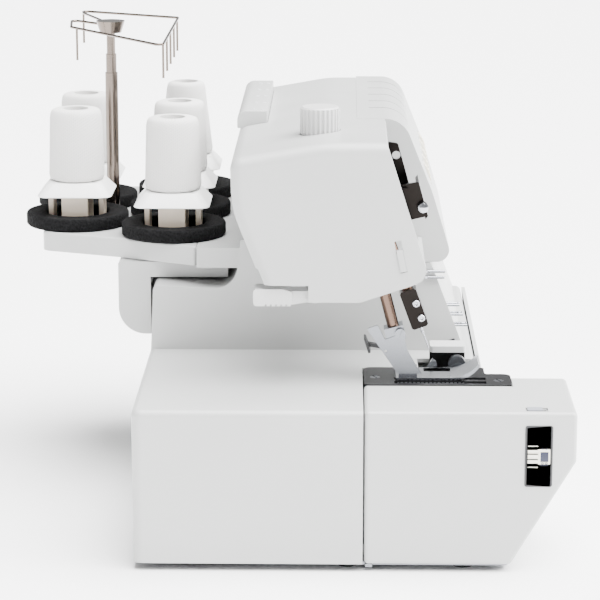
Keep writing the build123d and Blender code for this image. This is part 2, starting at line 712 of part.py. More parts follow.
def presser_foot():
    """Long sole with a turned-up toe, needle opening and ankle block."""
    low = plate_top + sole_gap
    sole = side_block(make_face([
        Line((sole_rear, low), (-66, low)),
        ThreePointArc((-66, low), (-77, low + 2.6), (sole_front, low + 9.4)),
        Line((sole_front, low + 9.4), (sole_front + 1.2, low + 10.4)),
        ThreePointArc((sole_front + 1.2, low + 10.4), (-75.6, low + 4.4), (-66, low + 1.6)),
        Line((-66, low + 1.6), (sole_rear, low + 1.6)),
        Line((sole_rear, low + 1.6), (sole_rear, low))]), sole_left, sole_right)
    sole -= brick((needle_axis_x - 4.5, sole_right - 1.2), (-66, -49), (low - 1, low + 4))
    for x in feed_rows[1:]:
        sole -= brick((x - 2.4, x + 2.4), (-76, -30), (low - 1, low + 0.5))
    ankle = brick((presser_x - 4.9, presser_x + 5), (-44.5, -33), (low + 1.6, low + 6.4))
    neck = brick((presser_x - 4.9, presser_x + 5), (-40.5, -34.5), (low + 6.4, 112.6))
    cut = on_presser_bar(-9) * Box(8.2, 4.2, 14.2)
    return sole + ankle + neck - cut


def presser_lifter():
    """White ribbed lever that lifts the presser foot."""
    hub = axle(head_left + 4, head_left + 18, lifter_y, lifter_z, 5)
    neck = side_block(outline([
        (18, 157.5, 0), (26, 156.5, 2), (36, 154.6, 2), (36, 163.6, 2), (26, 163.6, 2), (18, 165, 0)]),
        head_left + 4.5, head_left + 17)
    grip = side_block(outline([
        (34, 154.2, 1), (58.4, 154.2, 2.4), (58.4, 165, 2.4), (40, 165, 3), (34, 163, 1)]),
        head_left + 3.2, head_left + 19)
    for i in range(6):
        grip -= brick((head_left - 1, head_left + 20), (34 + 3.2 * i, 35.2 + 3.2 * i), (153, 155.4))
    return hub + neck + grip - axle(head_left, head_left + 20, lifter_y, lifter_z, lifter_stud_radius + running)


def lifter_stud():
    """Fixed stud of the lifter lever, hung from the frame's arm."""
    stud = axle(head_left + 3.4, head_left + 24, lifter_y, lifter_z, lifter_stud_radius)
    hanger = brick((head_left + 19, head_left + 24), (lifter_y - 6, lifter_y + 6), (lifter_z - 6, 222))
    return stud + hanger


# ---- head fittings ----
def pressure_knob():
    """Ribbed knob that sets the presser foot's pressure, with its stem."""
    low = head_top - 4
    knob = post(knob_x, knob_y, low, low + knob_height, knob_radius - 0.6)
    knob = chamfer(knob.edges().sort_by(Axis.Z)[-1], 0.8)
    rib = Pos(knob_radius - 0.7, 0, low + knob_height / 2 + 0.6) * Cylinder(0.9, knob_height - 3)
    knob += [Pos(knob_x, knob_y, 0) * piece for piece in ring_of(rib, 26)]
    return knob + post(knob_x, knob_y, 241, low, 4)


def slide_switch():
    """Small sliding catch in the left cover."""
    rest = switch_place() * Pos(0, 0, -2.6)
    return rest * Pos(0.4, 0, 0) * Box(2.6, 3.8, 14) + rest * Pos(4, 0, 0) * Box(5, 2.6, 6)


def take_up_lever():
    """Thread take-up lever: a dark tapered plate with an eye, on a hub."""
    plate = side_block(outline([
        (-21, 252, 4), (-31.5, 250.5, 2), (-39, 224, 1), (-35, 221, 1), (-22, 224, 3)]), 93, 95)
    eye = axle(90, 98, -30.5, 243, 2.6)
    hub = axle(93, 103.4, -26, 229, 4.5)
    return plate + hub - eye - axle(90, 105, -26, 229, 2 + running)


def take_up_stud():
    """Stud that the take-up lever rocks on, on a web of the frame."""
    stud = axle(92, 112, -26, 229, 2)
    web = brick((104, 110), (-30, 0), (224, 234))
    return stud + web


def threading_bracket():
    """Dark bracket, round boss and wire guides on the front of the needle bar's opening."""
    plate = side_block(outline([
        (-31, 228.5, 1), (-44, 231, 1), (-50, 209.5, 1), (-37, 206.5, 1)]), 66, 68)
    fold = side_block(outline([
        (-42.4, 229, 0), (-44, 231, 0), (-50, 209.5, 0), (-48.4, 207.5, 0)]), 66, 92)
    boss = axle(62.5, 66, -46.6, 215.5, 3.4)
    arm = brick((62.6, 68), (-37, -31), (218.5, 227.5))
    return plate + fold + boss + arm


def thread_guide_pins():
    """Chrome wire guides under the front panel's left corner."""
    pins = []
    for z, front, rear in ((156.0, -64.4, -53.0), (152.0, -64.0, -53.0)):
        run = cross_axle(column_left - 2, front, rear, z, 1.0)
        stem = axle(column_left - 2, column_left + 1, rear + 1, z, 0.9)
        pins.append(run + stem)
    return together(pins)


def looper_thread_guides():
    """Three bent wire guides on the column's front, for the looper threads."""
    guides = []
    for z in (132.2, 125.8, 118.6):
        y = column_front(z)
        wire = cross_axle(column_left + 3, y - 8, y + 1.5, z, 0.9)
        hook = cross_axle(column_left + 8, y - 8, y + 1.5, z, 0.9)
        bend = axle(column_left + 3, column_left + 8, y - 7.2, z, 0.8)
        guides.append(wire + hook + bend)
    return together(guides)


def guide_span(grow):
    """X range of the rear thread guide, grown at both ends."""
    first = dial_first_x - dial_pitch / 2 - 5
    return (first - grow, first + dial_count * dial_pitch - 10 + grow)


def rear_thread_guide():
    """Guide plate over the head's rear edge, with two holes for each thread."""
    plate = brick(guide_span(0), (53, head_rear + 2), (head_top - 2, head_top + 0.8))
    plate += brick(guide_span(0), (53, 56), (head_top - 13, head_top - 1))
    for i in range(dial_count):
        for y in (56.2, 61.6):
            plate -= post(dial_first_x - 15 + i * dial_pitch, y, head_top - 3, head_top + 2, 1.3)
    return plate


def tension_discs():
    """Shaft and pair of tension discs behind each dial, on a rail of the frame."""
    y = dial_axis_y()
    pieces = [axle(178, 332, y, tension_axis_z, 2.5)]
    for i in range(dial_count):
        x = dial_first_x + i * dial_pitch
        pieces.append(axle(x + 6, x + 9, y, tension_axis_z, 9.5))
    rail = brick((326, 332), (y - 4, 34), (tension_axis_z - 6, tension_axis_z + 6))
    rail += brick((232, 332), (26, 34), (tension_axis_z - 6, tension_axis_z + 6))
    solid = pieces[0]
    for piece in pieces[1:]:
        solid += piece
    return solid + rail


def tension_dial(index):
    """Thumb dial for one thread, with a ribbed rim and a numbered band."""
    x = dial_first_x + index * dial_pitch
    half = tension_dial_width / 2
    wheel = Cylinder(tension_dial_radius - 0.4, tension_dial_width)
    notch = Pos(tension_dial_radius, 0, 0) * Cylinder(0.8, tension_dial_width + 1)
    wheel -= ring_of(notch, 36)
    wheel -= Cylinder(2.5 + running, tension_dial_width + 1)
    return Pos(x, dial_axis_y(), tension_axis_z) * Rot(0, 90, 0) * wheel


def stitch_dial():
    """Thumbwheel in the side cover's window, ribbed on one half of its rim."""
    wheel = Cylinder(stitch_dial_radius, stitch_dial_width)
    notch = Pos(stitch_dial_radius + 0.2, 0, stitch_dial_width / 4) * Cylinder(0.8, stitch_dial_width / 2)
    wheel -= ring_of(notch, 44)
    wheel -= Cylinder(axle_radius + running, stitch_dial_width + 1)
    return Pos(stitch_dial_x, stitch_dial_y, stitch_dial_z) * Rot(90, 0, 0) * wheel


# ---- drive ----
def main_shaft():
    """Main shaft with its two eccentrics and the toothed drive pulley."""
    shaft = axle(112, casing_right + 2 + handwheel_width / 2, shaft_y, shaft_z, shaft_radius)
    shaft += axle(150, 158, shaft_y + 3, shaft_z, 12) + axle(174, 182, shaft_y, shaft_z + 3, 12)
    low = belt_x - belt_width / 2
    shaft += axle(low, low + belt_width, shaft_y, shaft_z, drive_pulley_radius)
    return shaft


def handwheel():
    """Handwheel pressed on the main shaft's right end."""
    low = casing_right + 2
    wheel = Pos(low + handwheel_width / 2, shaft_y, shaft_z) * Rot(0, 90, 0) * Cylinder(
        handwheel_radius, handwheel_width)
    wheel = fillet(wheel.edges().sort_by(Axis.X)[-1], 5)
    notch = Pos(handwheel_radius + 1.2, 0, 0) * Cylinder(2.4, handwheel_width + 2)
    centre = Pos(low + handwheel_width / 2, shaft_y, shaft_z) * Rot(0, 90, 0)
    wheel -= [centre * piece for piece in ring_of(notch, 18)]
    return wheel - axle(low - 1, low + handwheel_width / 2, shaft_y, shaft_z, shaft_radius)


def motor():
    """Drive motor on its foot."""
    body = axle(240, 308, motor_y, motor_z, motor_radius)
    foot = brick((248, 300), (motor_y - 16, motor_y + 16), (12, motor_z - 14))
    return body + foot - axle(290, 309, motor_y, motor_z, 4 + running)


def motor_pulley():
    """Motor's shaft end with its small pulley."""
    low = belt_x - belt_width / 2
    return axle(292, 324, motor_y, motor_z, 4) + axle(low, low + belt_width, motor_y, motor_z,
                                                     motor_pulley_radius)


def drive_belt():
    """Belt from the motor to the main shaft, a hair clear of both pulleys."""
    def loop(grow):
        big = Pos(shaft_y, shaft_z) * Circle(drive_pulley_radius + grow)
        small = Pos(motor_y, motor_z) * Circle(motor_pulley_radius + grow)
        return make_hull((big + small).edges())
    band = loop(belt_gap + belt_thick) - loop(belt_gap)
    return side_block(band, belt_x - belt_width / 2 + 0.5, belt_x + belt_width / 2 - 0.5)


def power_switch():
    """Rocker of the power switch."""
    rocker = side_block(outline([(59, 19.0, 1), (79, 19.0, 1), (79, 33.0, 1), (59, 33.0, 1)]),
                        casing_right - 1.5, casing_right + 1.5)
    hub = post(casing_right - 3.5, rocker_y, 20, 32, 2.2)
    return rocker + hub


def power_inlet():
    """Socket block for the mains lead and the pedal lead."""
    body = brick((casing_right - 22, casing_right + 0.6), (92.4, 117.6), (16.4, 35.6))
    body -= brick((casing_right - 14, casing_right + 1), (95, 105), (19, 33))
    return body - brick((casing_right - 14, casing_right + 1), (108, 115), (19, 33))


# ---- thread stand ----
def spool_tray():
    """Hollow moulded tray behind the column that carries the spools and the mast."""
    plan = outline([
        (column_left + 6, tray_front, 2), (182, 153, 12), (203, tray_rear, 8),
        (tray_right, tray_rear, 22), (tray_right, tray_front, 10)])
    tray = plan_block(plan, tray_top - tray_thick, tray_top)
    tray = fillet(tray.faces().sort_by(Axis.Z)[-1].edges(), 1.5)
    tray -= plan_block(offset(plan, -wall), tray_top - tray_thick - 1, tray_top - wall)
    tray += post(mast_x, mast_y, tray_top - tray_thick, tray_top, mast_radii[0] + 3)
    return tray - post(mast_x, mast_y, 100, 200, mast_radii[0])


def spool_pins():
    """Upright pins, one for each thread."""
    return together([post(x, y, tray_top, cone_base_z + 40, pin_radius) for x, y in spools()])


def foam_pads():
    """Round sponge pads under the spools."""
    pad = Cylinder(pad_radius, pad_thick) - Cylinder(pad_hole_radius, pad_thick + 1)
    return together([Pos(x, y, tray_top + pad_thick / 2 + 0.1) * pad for x, y in spools()])


def cone_adapters():
    """Holders: a flared skirt, square with rounded corners, on four legs and a tube round the pin."""
    foot = RectangleRounded(2 * skirt_half, 2 * skirt_half, 7)
    rim = RectangleRounded(2 * skirt_top_half, 2 * skirt_top_half, 6)
    skirt = loft([Plane.XY.offset(skirt_z) * foot, Plane.XY.offset(cone_base_z) * rim])
    skirt += plan_block(foot, skirt_z - 1.2, skirt_z)
    skirt -= post(0, 0, skirt_z - 2, skirt_z + 1, 15)
    low = tray_top + 0.1
    leg = brick((leg_reach - leg_thick / 2, leg_reach + leg_thick / 2), (-leg_width / 2, leg_width / 2),
                (low, skirt_z))
    adapter = skirt + ring_of(leg, 4) + post(0, 0, skirt_z, cone_base_z + 40, 6.5)
    adapter -= post(0, 0, low - 1, cone_base_z + 60, pin_radius + 0.3)
    return together([Pos(x, y, 0) * adapter for x, y in spools()])


def thread_cones():
    """Wound thread on its cones; the last of the front row is a taller tapered one."""
    cones = []
    for index, (x, y) in enumerate(spools()):
        top_radius = 13.5 if index == 2 else cone_radius - 1.8
        height = cone_height + (3.5 if index == 2 else 0)
        body = Pos(x, y, cone_base_z + 0.1 + height / 2) * Cone(cone_radius, top_radius, height)
        cones.append(body - post(x, y, cone_base_z - 1, cone_base_z + 80, 8.5))
    return together(cones)


def mast_tube(index, bore):
    """One section of the telescopic mast."""
    low, top = mast_feet[index], mast_tops[index]
    return post(mast_x, mast_y, low, top, mast_radii[index]) - post(mast_x, mast_y, low - 1, top + 1, bore)


def antenna_tube():
    """Lowest section of the mast, fixed in the tray."""
    return mast_tube(0, mast_radii[1] + slide_clearance)


def antenna_middle():
    """Middle section of the mast."""
    return mast_tube(1, mast_radii[2] + slide_clearance)


def antenna_top():
    """Top section of the mast with its white cap."""
    rod = post(mast_x, mast_y, mast_feet[2], mast_tops[2], mast_radii[2])
    cap = Pos(mast_x, mast_y, mast_tops[2] + 4) * Cone(7.5, 10, 8)
    return rod + cap


def wire_run(points):
    """Bent wire along straight runs with rounded bends."""
    path = FilletPolyline(*points, radius=[wire_bend] * (len(points) - 2))
    return sweep(Plane(origin=path @ 0, z_dir=path % 0) * Circle(wire_radius), path=path)


def thread_frame():
    """Wire frame on the cap with the hanging thread hooks."""
    right_x = hook_first_x + (hook_count - 1) * hook_pitch + 12
    near_x = hook_first_x - 5
    rear_near = (257.0, 190.5)
    rear_far = (352.0, 192.5)
    attach = mast_y + 6
    near = wire_run([
        (mast_x + 4, attach, wire_z), (mast_x + 28, attach + 24, wire_z), (rear_near[0], rear_near[1], wire_z),
        (near_x, hook_y + 1, wire_z), (near_x + 8, hook_y, wire_z), (right_x, hook_y, wire_z),
        (rear_far[0], rear_far[1], wire_z), (rear_far[0] - 12, rear_far[1] - 2, wire_z),
        (mast_x + 6, mast_y + 1, wire_z)])
    hooks = [(hook_first_x + i * hook_pitch, hook_y) for i in range(hook_count)]
    hooks += [(rear_near[0] - 6, rear_near[1] - 4.5), (rear_far[0] - 8, rear_far[1] - 1.4)]
    for x, y in hooks:
        near += post(x, y, wire_z - hook_drop, wire_z + 0.3, wire_radius - 0.1)
    return near


def pivot_studs():
    """All fixed pins and studs: side cover, knife, loopers, foot lifter and take-up lever."""
    return together([cover_hinge(), knife_pivot(), looper_shafts(), lifter_stud(), take_up_stud()])


def thread_wires():
    """Bent chrome guides under the front panel and on the column's front."""
    return together([thread_guide_pins(), looper_thread_guides()])


# ---- build ----
def middle_of(pieces):
    """Point of the table under the middle of the whole machine."""
    boxes = [piece.bounding_box() for piece in pieces.values()]
    middle_x = (min(box.min.X for box in boxes) + max(box.max.X for box in boxes)) / 2
    middle_y = (min(box.min.Y for box in boxes) + max(box.max.Y for box in boxes)) / 2
    return Vector(middle_x, middle_y, min(box.min.Z for box in boxes))


pieces = {
    "base_pan": base_pan(),
    "rubber_feet": rubber_feet(),
    "machine_frame": machine_frame(),
    "bronze_bushes": bronze_bushes(),
    "main_casing": main_casing(),
    "rear_cover": rear_cover(),
    "head_cover": head_cover(),
    "front_panel": front_panel(),
    "side_cover": side_cover(),
    "pivot_studs": pivot_studs(),
    "thread_wires": thread_wires(),
    "cover_latch": cover_latch(),
    "looper_cover": looper_cover(),
    "needle_plate": needle_plate(),
    "needle_plate_screws": needle_plate_screws(),
    "feed_dogs": feed_dogs(),
    "lower_knife": lower_knife(),
    "upper_knife": upper_knife(),
    "knife_guard": knife_guard(),
    "upper_looper": looper(116, upper_looper_pivot, -57, 106, 2.4),
    "lower_looper": looper(76, lower_looper_pivot, -56, 84, 2.4),
    "needle_bar": needle_bar(),
    "needle_clamp": needle_clamp(),
    "needle_clamp_screws": needle_clamp_screws(),
    "needles": needles(),
    "presser_bar": presser_bar(),
    "presser_spring": presser_spring(),
    "foot_holder": foot_holder(),
    "foot_clamp_screw": foot_clamp_screw(),
    "foot_release_lever": foot_release_lever(),
    "presser_foot": presser_foot(),
    "presser_lifter": presser_lifter(),
    "pressure_knob": pressure_knob(),
    "slide_switch": slide_switch(),
    "take_up_lever": take_up_lever(),
    "threading_bracket": threading_bracket(),
    "rear_thread_guide": rear_thread_guide(),
    "tension_discs": tension_discs(),
    "stitch_dial": stitch_dial(),
    "main_shaft": main_shaft(),
    "handwheel": handwheel(),
    "motor": motor(),
    "motor_pulley": motor_pulley(),
    "drive_belt": drive_belt(),
    "power_switch": power_switch(),
    "power_inlet": power_inlet(),
    "spool_tray": spool_tray(),
    "spool_pins": spool_pins(),
    "foam_pads": foam_pads(),
    "cone_adapters": cone_adapters(),
    "thread_cones": thread_cones(),
    "antenna_tube": antenna_tube(),
    "antenna_middle": antenna_middle(),
    "antenna_top": antenna_top(),
    "thread_frame": thread_frame(),
    "tension_dial_1": tension_dial(0),
    "tension_dial_2": tension_dial(1),
    "tension_dial_3": tension_dial(2),
    "tension_dial_4": tension_dial(3),
    "tension_dial_5": tension_dial(4),
}
middle = middle_of(pieces)
os.makedirs("parts", exist_ok=True)
for name, piece in pieces.items():
    export_step(Pos(-middle) * piece, f"parts/{name}.step")
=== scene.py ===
from math import atan2, cos, pi, radians, sin

import bmesh
import bpy
from mathutils import Matrix, Vector


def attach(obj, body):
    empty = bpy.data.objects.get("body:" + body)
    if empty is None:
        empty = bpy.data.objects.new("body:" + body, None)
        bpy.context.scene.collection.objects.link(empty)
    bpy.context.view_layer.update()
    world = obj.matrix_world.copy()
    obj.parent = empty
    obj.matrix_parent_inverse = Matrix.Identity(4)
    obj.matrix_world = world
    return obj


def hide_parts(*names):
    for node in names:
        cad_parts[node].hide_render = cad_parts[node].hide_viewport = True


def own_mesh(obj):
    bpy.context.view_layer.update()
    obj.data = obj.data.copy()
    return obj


# A home overlock machine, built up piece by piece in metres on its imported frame.
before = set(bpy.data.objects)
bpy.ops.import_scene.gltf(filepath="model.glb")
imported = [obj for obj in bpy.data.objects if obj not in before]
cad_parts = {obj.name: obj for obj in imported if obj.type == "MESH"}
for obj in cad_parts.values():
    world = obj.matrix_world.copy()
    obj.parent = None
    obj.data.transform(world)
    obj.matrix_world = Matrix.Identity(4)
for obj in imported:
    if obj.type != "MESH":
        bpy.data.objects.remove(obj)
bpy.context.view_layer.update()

# Camera. It stands to the left of the machine, above the thread mast, and looks along the machine
# and a little down on it with a long lens. Places are measured from the bed's left face and from a
# line near the bed's middle; the frame's origin is middle_x and middle_y on from these.
middle_x, middle_y = 0.1873, 0.04085
lens_length, sensor_width = 147.0, 36.0
look_down, look_aside = radians(13.3), radians(1.05)
camera_data = bpy.data.cameras.new("camera")
camera_data.lens = lens_length
camera_data.sensor_width = sensor_width
camera = bpy.data.objects.new("camera", camera_data)
bpy.context.scene.collection.objects.link(camera)
camera.location = (-1.42464 - middle_x, 0.00211 - middle_y, 0.50818)
look = Vector((cos(look_down) * cos(look_aside), cos(look_down) * sin(look_aside), -sin(look_down)))
camera.rotation_euler = look.to_track_quat("-Z", "Y").to_euler()
bpy.context.scene.camera = camera

# Studio. A flat floor of matt pale paper under a broad soft light from above, with a lamp on the
# operator's side, a weak one beside the camera and an even pale world.
floor_left, floor_right, floor_half_depth = -3.0, 6.0, 4.0
floor_mesh = bmesh.new()
floor_edge = [floor_mesh.verts.new((floor_left, y, 0.0)) for y in (-floor_half_depth, floor_half_depth)]
floor_line = floor_mesh.edges.new(floor_edge)
swept = bmesh.ops.extrude_edge_only(floor_mesh, edges=[floor_line])
bmesh.ops.translate(floor_mesh, vec=(floor_right - floor_left, 0.0, 0.0),
                    verts=[v for v in swept["geom"] if isinstance(v, bmesh.types.BMVert)])
floor_shape = bpy.data.meshes.new("floor")
floor_mesh.normal_update()
floor_mesh.to_mesh(floor_shape)
floor_mesh.free()
floor = bpy.data.objects.new("floor", floor_shape)
bpy.context.scene.collection.objects.link(floor)

paper = bpy.data.materials.new("studio_paper")
paper.use_nodes = True
paper_shader = paper.node_tree.nodes["Principled BSDF"]
paper_shader.inputs["Base Color"].default_value = (0.97, 0.97, 0.97, 1.0)
paper_shader.inputs["Roughness"].default_value = 0.9
floor_shape.materials.append(paper)

world = bpy.data.worlds.new("studio")
world.use_nodes = True
backdrop = world.node_tree.nodes["Background"]
backdrop.inputs["Color"].default_value = (1.0, 1.0, 1.0, 1.0)
backdrop.inputs["Strength"].default_value = 0.6
bpy.context.scene.world = world


def soft_lamp(name, place, aim, size, power):
    """Square area lamp at place, turned to face aim."""
    data = bpy.data.lights.new(name, "AREA")
    data.size = size
    data.energy = power
    lamp = bpy.data.objects.new(name, data)
    bpy.context.scene.collection.objects.link(lamp)
    lamp.location = place
    lamp.rotation_euler = (Vector(aim) - Vector(place)).to_track_quat("-Z", "Y").to_euler()


soft_lamp("fill_lamp", (-1.8, 0.9, 0.9), (0.0, 0.0, 0.15), 1.2, 1.5)
soft_lamp("front_lamp", (-0.2, -1.8, 0.9), (0.0, 0.0, 0.12), 1.4, 60.0)
sky_data = bpy.data.lights.new("sky_lamp", "SUN")
sky_data.energy = 20.0
sky_data.angle = radians(70.0)
sky = bpy.data.objects.new("sky_lamp", sky_data)
bpy.context.scene.collection.objects.link(sky)
sky.rotation_euler = Vector((0.12, 0.35, -1.0)).to_track_quat("-Z", "Y").to_euler()

# Casings. The bed, column, head, front panel, rear cover, thread tray, handwheel and hinged covers
# are injection-moulded white plastic with a fine spark texture. The fixed ones are screwed to the
# frame from inside, and the side and looper covers swing on hinges.
flow_scale, gloss_scale = 9.0, 35.0
spark_scale, spark_depth = 900.0, 0.00006


def surface_nodes(name):
    """New material with its shader and an Object coordinate node."""
    material = bpy.data.materials.new(name)
    material.use_nodes = True
    nodes = material.node_tree.nodes
    links = material.node_tree.links
    place = nodes.new("ShaderNodeTexCoord")
    return material, nodes, links, nodes["Principled BSDF"], place.outputs["Object"]


def noise(nodes, links, place, scale, detail=4.0):
    """Noise texture over a place socket."""
    texture = nodes.new("ShaderNodeTexNoise")
    texture.inputs["Scale"].default_value = scale
    texture.inputs["Detail"].default_value = detail
    links.new(place, texture.inputs["Vector"])
    return texture.outputs["Fac"]


def tint(nodes, links, value, low, high, start=0.3, end=0.7):
    """Colour ramp between two colours over a value socket."""
    ramp = nodes.new("ShaderNodeValToRGB")
    ramp.color_ramp.elements[0].position = start
    ramp.color_ramp.elements[0].color = (*low, 1.0)
    ramp.color_ramp.elements[1].position = end
    ramp.color_ramp.elements[1].color = (*high, 1.0)
    links.new(value, ramp.inputs["Fac"])
    return ramp.outputs["Color"]


def between(nodes, links, value, low, high):
    """Maps a 0 to 1 value socket to a range."""
    spread = nodes.new("ShaderNodeMapRange")
    spread.inputs["To Min"].default_value = low
    spread.inputs["To Max"].default_value = high
    links.new(value, spread.inputs["Value"])
    return spread.outputs["Result"]


def relief(nodes, links, value, shader, depth, strength=0.4):
    """Bump of a given depth in metres on the shader's normal."""
    bump = nodes.new("ShaderNodeBump")
    bump.inputs["Strength"].default_value = strength
    bump.inputs["Distance"].default_value = depth
    links.new(value, bump.inputs["Height"])
    links.new(bump.outputs["Normal"], shader.inputs["Normal"])


def moulded_plastic(name, colour, rough=0.35, grain=spark_scale, spread=0.03):
    """Moulded plastic: faint flow marks in the colour, uneven gloss and a fine spark texture."""
    material, nodes, links, shader, place = surface_nodes(name)
    low = tuple(max(c - spread, 0.0) for c in colour)
    links.new(tint(nodes, links, noise(nodes, links, place, flow_scale), low, colour),
              shader.inputs["Base Color"])
    links.new(between(nodes, links, noise(nodes, links, place, gloss_scale), rough - 0.06, rough + 0.08),
              shader.inputs["Roughness"])
    relief(nodes, links, noise(nodes, links, place, grain, 2.0), shader, spark_depth, 0.25)
    return material


def dress(material, slot, *names):
    """Gives CAD nodes a finished material; the slot argument is not used."""
    for name in names:
        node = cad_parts[name]
        node.data.materials.clear()
        node.data.materials.append(material)


white_plastic = moulded_plastic("white_moulding", (0.45, 0.455, 0.45))
dress(white_plastic, "white_plastic", "main_casing", "rear_cover", "head_cover", "front_panel",
      "side_cover", "looper_cover", "spool_tray", "rear_thread_guide", "handwheel", "slide_switch")

# Base and small steel pieces. A folded steel bottom plate closes the machine. Knives, feed dogs,
# studs, screws and shaft are turned or milled steel with a ground finish, left bright.
scratch_scale, scratch_depth = 240.0, 0.00003


def ground_metal(name, colour, rough=0.28, along=(1.0, 12.0, 12.0)):
    """Ground or brushed metal: fine scratches along one direction."""
    material, nodes, links, shader, place = surface_nodes(name)
    shader.inputs["Metallic"].default_value = 1.0
    turn = nodes.new("ShaderNodeMapping")
    turn.inputs["Scale"].default_value = along
    links.new(place, turn.inputs["Vector"])
    scratches = noise(nodes, links, turn.outputs["Vector"], scratch_scale, 6.0)
    low = tuple(c * 0.82 for c in colour)
    links.new(tint(nodes, links, scratches, low, colour), shader.inputs["Base Color"])
    links.new(between(nodes, links, scratches, rough - 0.08, rough + 0.14), shader.inputs["Roughness"])
    relief(nodes, links, scratches, shader, scratch_depth, 0.3)
    return material


bright_steel = ground_metal("ground_steel", (0.24, 0.25, 0.27))
dress(bright_steel, "steel", "base_pan", "pivot_studs", "needle_plate_screws", "lower_knife",
      "presser_spring", "foot_holder", "foot_clamp_screw", "upper_knife", "feed_dogs", "main_shaft",
      "motor_pulley")

# Needle and presser bars. Two drawn steel bars, chromed and polished, slide in bronze bushes in
# the head. The needle plate under them is stamped steel with a dark satin finish.
dress(ground_metal("bar_chrome", (0.13, 0.085, 0.065), 0.12), "steel", "presser_bar", "needle_bar")
dress(ground_metal("plate_steel", (0.06, 0.06, 0.062), 0.38), "steel", "needle_plate")

# Rubber. Moulded black rubber feet are fixed under the bottom plate, and the drive belt runs from
# the motor's pulley to the large one on the main shaft.
foot_rubber = moulded_plastic("foot_rubber", (0.03, 0.03, 0.03), 0.75, 500.0, 0.01)
dress(foot_rubber, "rubber", "rubber_feet", "drive_belt")

# Frame and drive. A grey painted casting carries the main shaft and the two bars in turned bronze
# bushes pressed into it, with the motor behind the shaft. The covers hide most of them.
cast_grey = moulded_plastic("cast_grey", (0.40, 0.41, 0.42), 0.55, 260.0, 0.05)
dress(cast_grey, "cast_frame", "machine_frame")
dress(moulded_plastic("motor_paint", (0.16, 0.17, 0.18), 0.5, 200.0), "motor_paint", "motor")
dress(ground_metal("turned_bronze", (0.55, 0.40, 0.22)), "bronze", "bronze_bushes")

# Chromed pieces. The thread wires, tension discs, presser foot, needles and loopers are polished
# steel, chromed so that thread slides over them.
chrome = ground_metal("bright_chrome", (0.42, 0.43, 0.46), 0.12, (4.0, 4.0, 4.0))
dress(chrome, "chrome", "thread_wires", "tension_discs", "presser_foot", "needles",
      "needle_clamp_screws", "upper_looper", "lower_looper")

# Blackened pieces. The threading bracket, needle clamp and take-up lever are stamped or milled
# steel, blackened in a bath.
black_steel = ground_metal("black_steel", (0.014, 0.012, 0.011), 0.3)
dress(black_steel, "dark_steel", "threading_bracket", "needle_clamp", "take_up_lever")

# Thread mast. Two drawn tubes telescope out of a third that stands on the tray, and the top one
# carries a bent wire frame with a hook for each thread. All are plated, with fine drawing marks.
mast_chrome = ground_metal("mast_chrome", (0.17, 0.14, 0.12), 0.16, (12.0, 12.0, 1.0))
dress(mast_chrome, "mast_metal", "antenna_tube", "antenna_middle", "antenna_top", "thread_frame")

# Small mouldings. The mains inlet, power switch and foot release lever are black plastic, the spool
# pins and latch grey, and the dials cream. The pressure knob and lifter are a greyer white.
black_plastic = moulded_plastic("black_moulding", (0.02, 0.02, 0.022), 0.4, spark_scale, 0.005)
dress(black_plastic, "dark_plastic", "power_inlet", "power_switch", "foot_release_lever")
grey_plastic = moulded_plastic("grey_moulding", (0.50, 0.51, 0.52), 0.4)
dress(grey_plastic, "grey_plastic", "spool_pins")
dress(moulded_plastic("latch_grey", (0.26, 0.27, 0.30), 0.4), "grey_plastic", "cover_latch")
cream_plastic = moulded_plastic("cream_moulding", (0.80, 0.76, 0.64), 0.38)
dress(cream_plastic, "cream_plastic", "cone_adapters", *[f"tension_dial_{i}" for i in range(1, 6)])
dress(moulded_plastic("knob_moulding", (0.56, 0.56, 0.555), 0.4), "cream_plastic", "pressure_knob",
      "presser_lifter")

# Sponge pads. Five round black sponge pads, die-cut with a hole in the middle, lie on the tray
# round the spool pins. Their cut edges are a little rounded and their tops sag slightly.
join_distance = 0.000005


def model(name, mesh, body, material):
    """Finished piece from a bmesh: it rides on a body and takes one material."""
    bmesh.ops.remove_doubles(mesh, verts=mesh.verts, dist=join_distance)
    bmesh.ops.recalc_face_normals(mesh, faces=mesh.faces)
    shape = bpy.data.meshes.new(name)
    mesh.to_mesh(shape)
    mesh.free()
    shape.materials.append(material)
    piece = bpy.data.objects.new(name, shape)
    bpy.context.scene.collection.objects.link(piece)
    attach(piece, body)
    return piece


def turned(mesh, outline, centre, steps=64, closed=True):
    """Spins an outline of (radius, height) points into a round body about an upright line."""
    points = [mesh.verts.new((centre[0] + radius, centre[1], height)) for radius, height in outline]
    pairs = list(zip(points, points[1:]))
    if closed:
        pairs.append((points[-1], points[0]))
    lines = [mesh.edges.new(pair) for pair in pairs]
    bmesh.ops.spin(mesh, geom=points + lines, cent=(centre[0], centre[1], 0.0), axis=(0.0, 0.0, 1.0),
                   dvec=(0.0, 0.0, 0.0), angle=2.0 * pi, steps=steps, use_merge=True)


def shade_smooth(piece, angle=0.6):
    """Smooth shading with edges sharper than an angle kept crisp."""
    for face in piece.data.polygons:
        face.use_smooth = True
    piece.data.set_sharp_from_angle(angle=angle)


tray_top = 0.1704
spool_first, spool_pitch = 0.198 - middle_x, 0.0715
front_row, rear_row = 0.1172 - middle_y, 0.186 - middle_y
spool_centres = [(spool_first + i * spool_pitch, front_row) for i in range(3)]
spool_centres += [(spool_first + (i + 0.5) * spool_pitch, rear_row) for i in range(2)]

